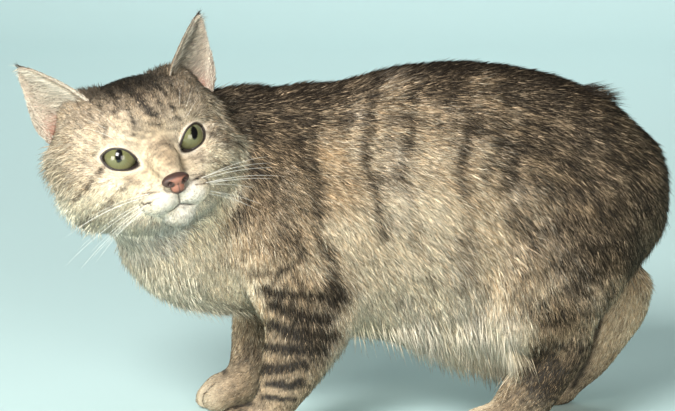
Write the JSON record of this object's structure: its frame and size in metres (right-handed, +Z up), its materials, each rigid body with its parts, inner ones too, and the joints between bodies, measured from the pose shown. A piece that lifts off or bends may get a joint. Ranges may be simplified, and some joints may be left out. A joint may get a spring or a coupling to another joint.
{
  "type": "manx cat figure",
  "caption": "Life-size standing tabby cat without a tail, rounded rump higher than the shoulders, head turned back over its left shoulder.",
  "frame": {"origin": "middle of the underside of the bounding box, on the floor that the paws stand on", "axes": "+X from the head end towards the rump, +Y towards the cat's right side, +Z up"},
  "size_m": [0.4448, 0.186, 0.293],
  "materials": {
    "tabby_coat": "short dense fur, brown ticked with dark bars",
    "belly_coat": "longer pale fur",
    "leg_coat": "short fur, tan with dark bars",
    "paw_coat": "very short fur",
    "face_coat": "very short pale fur",
    "ear_coat": "thin skin with fine pale hair",
    "nose_leather": "moist, fine grained",
    "eye": "clear and glossy over a green iris"
  },
  "bodies": {
    "root": {"head": "face_coat", "nose": "nose_leather", "eye_left": "eye", "eye_right": "eye", "ear_left": "ear_coat", "ear_right": "ear_coat", "neck": "tabby_coat", "chest": "tabby_coat", "belly": "belly_coat", "rump": "tabby_coat", "foreleg_left": "leg_coat", "foreleg_right": "leg_coat", "hind_leg_left": "leg_coat", "hind_leg_right": "leg_coat", "front_paw_left": "paw_coat", "front_paw_right": "paw_coat", "hind_foot_left": "paw_coat", "hind_foot_right": "paw_coat"}
  },
  "joints": []
}
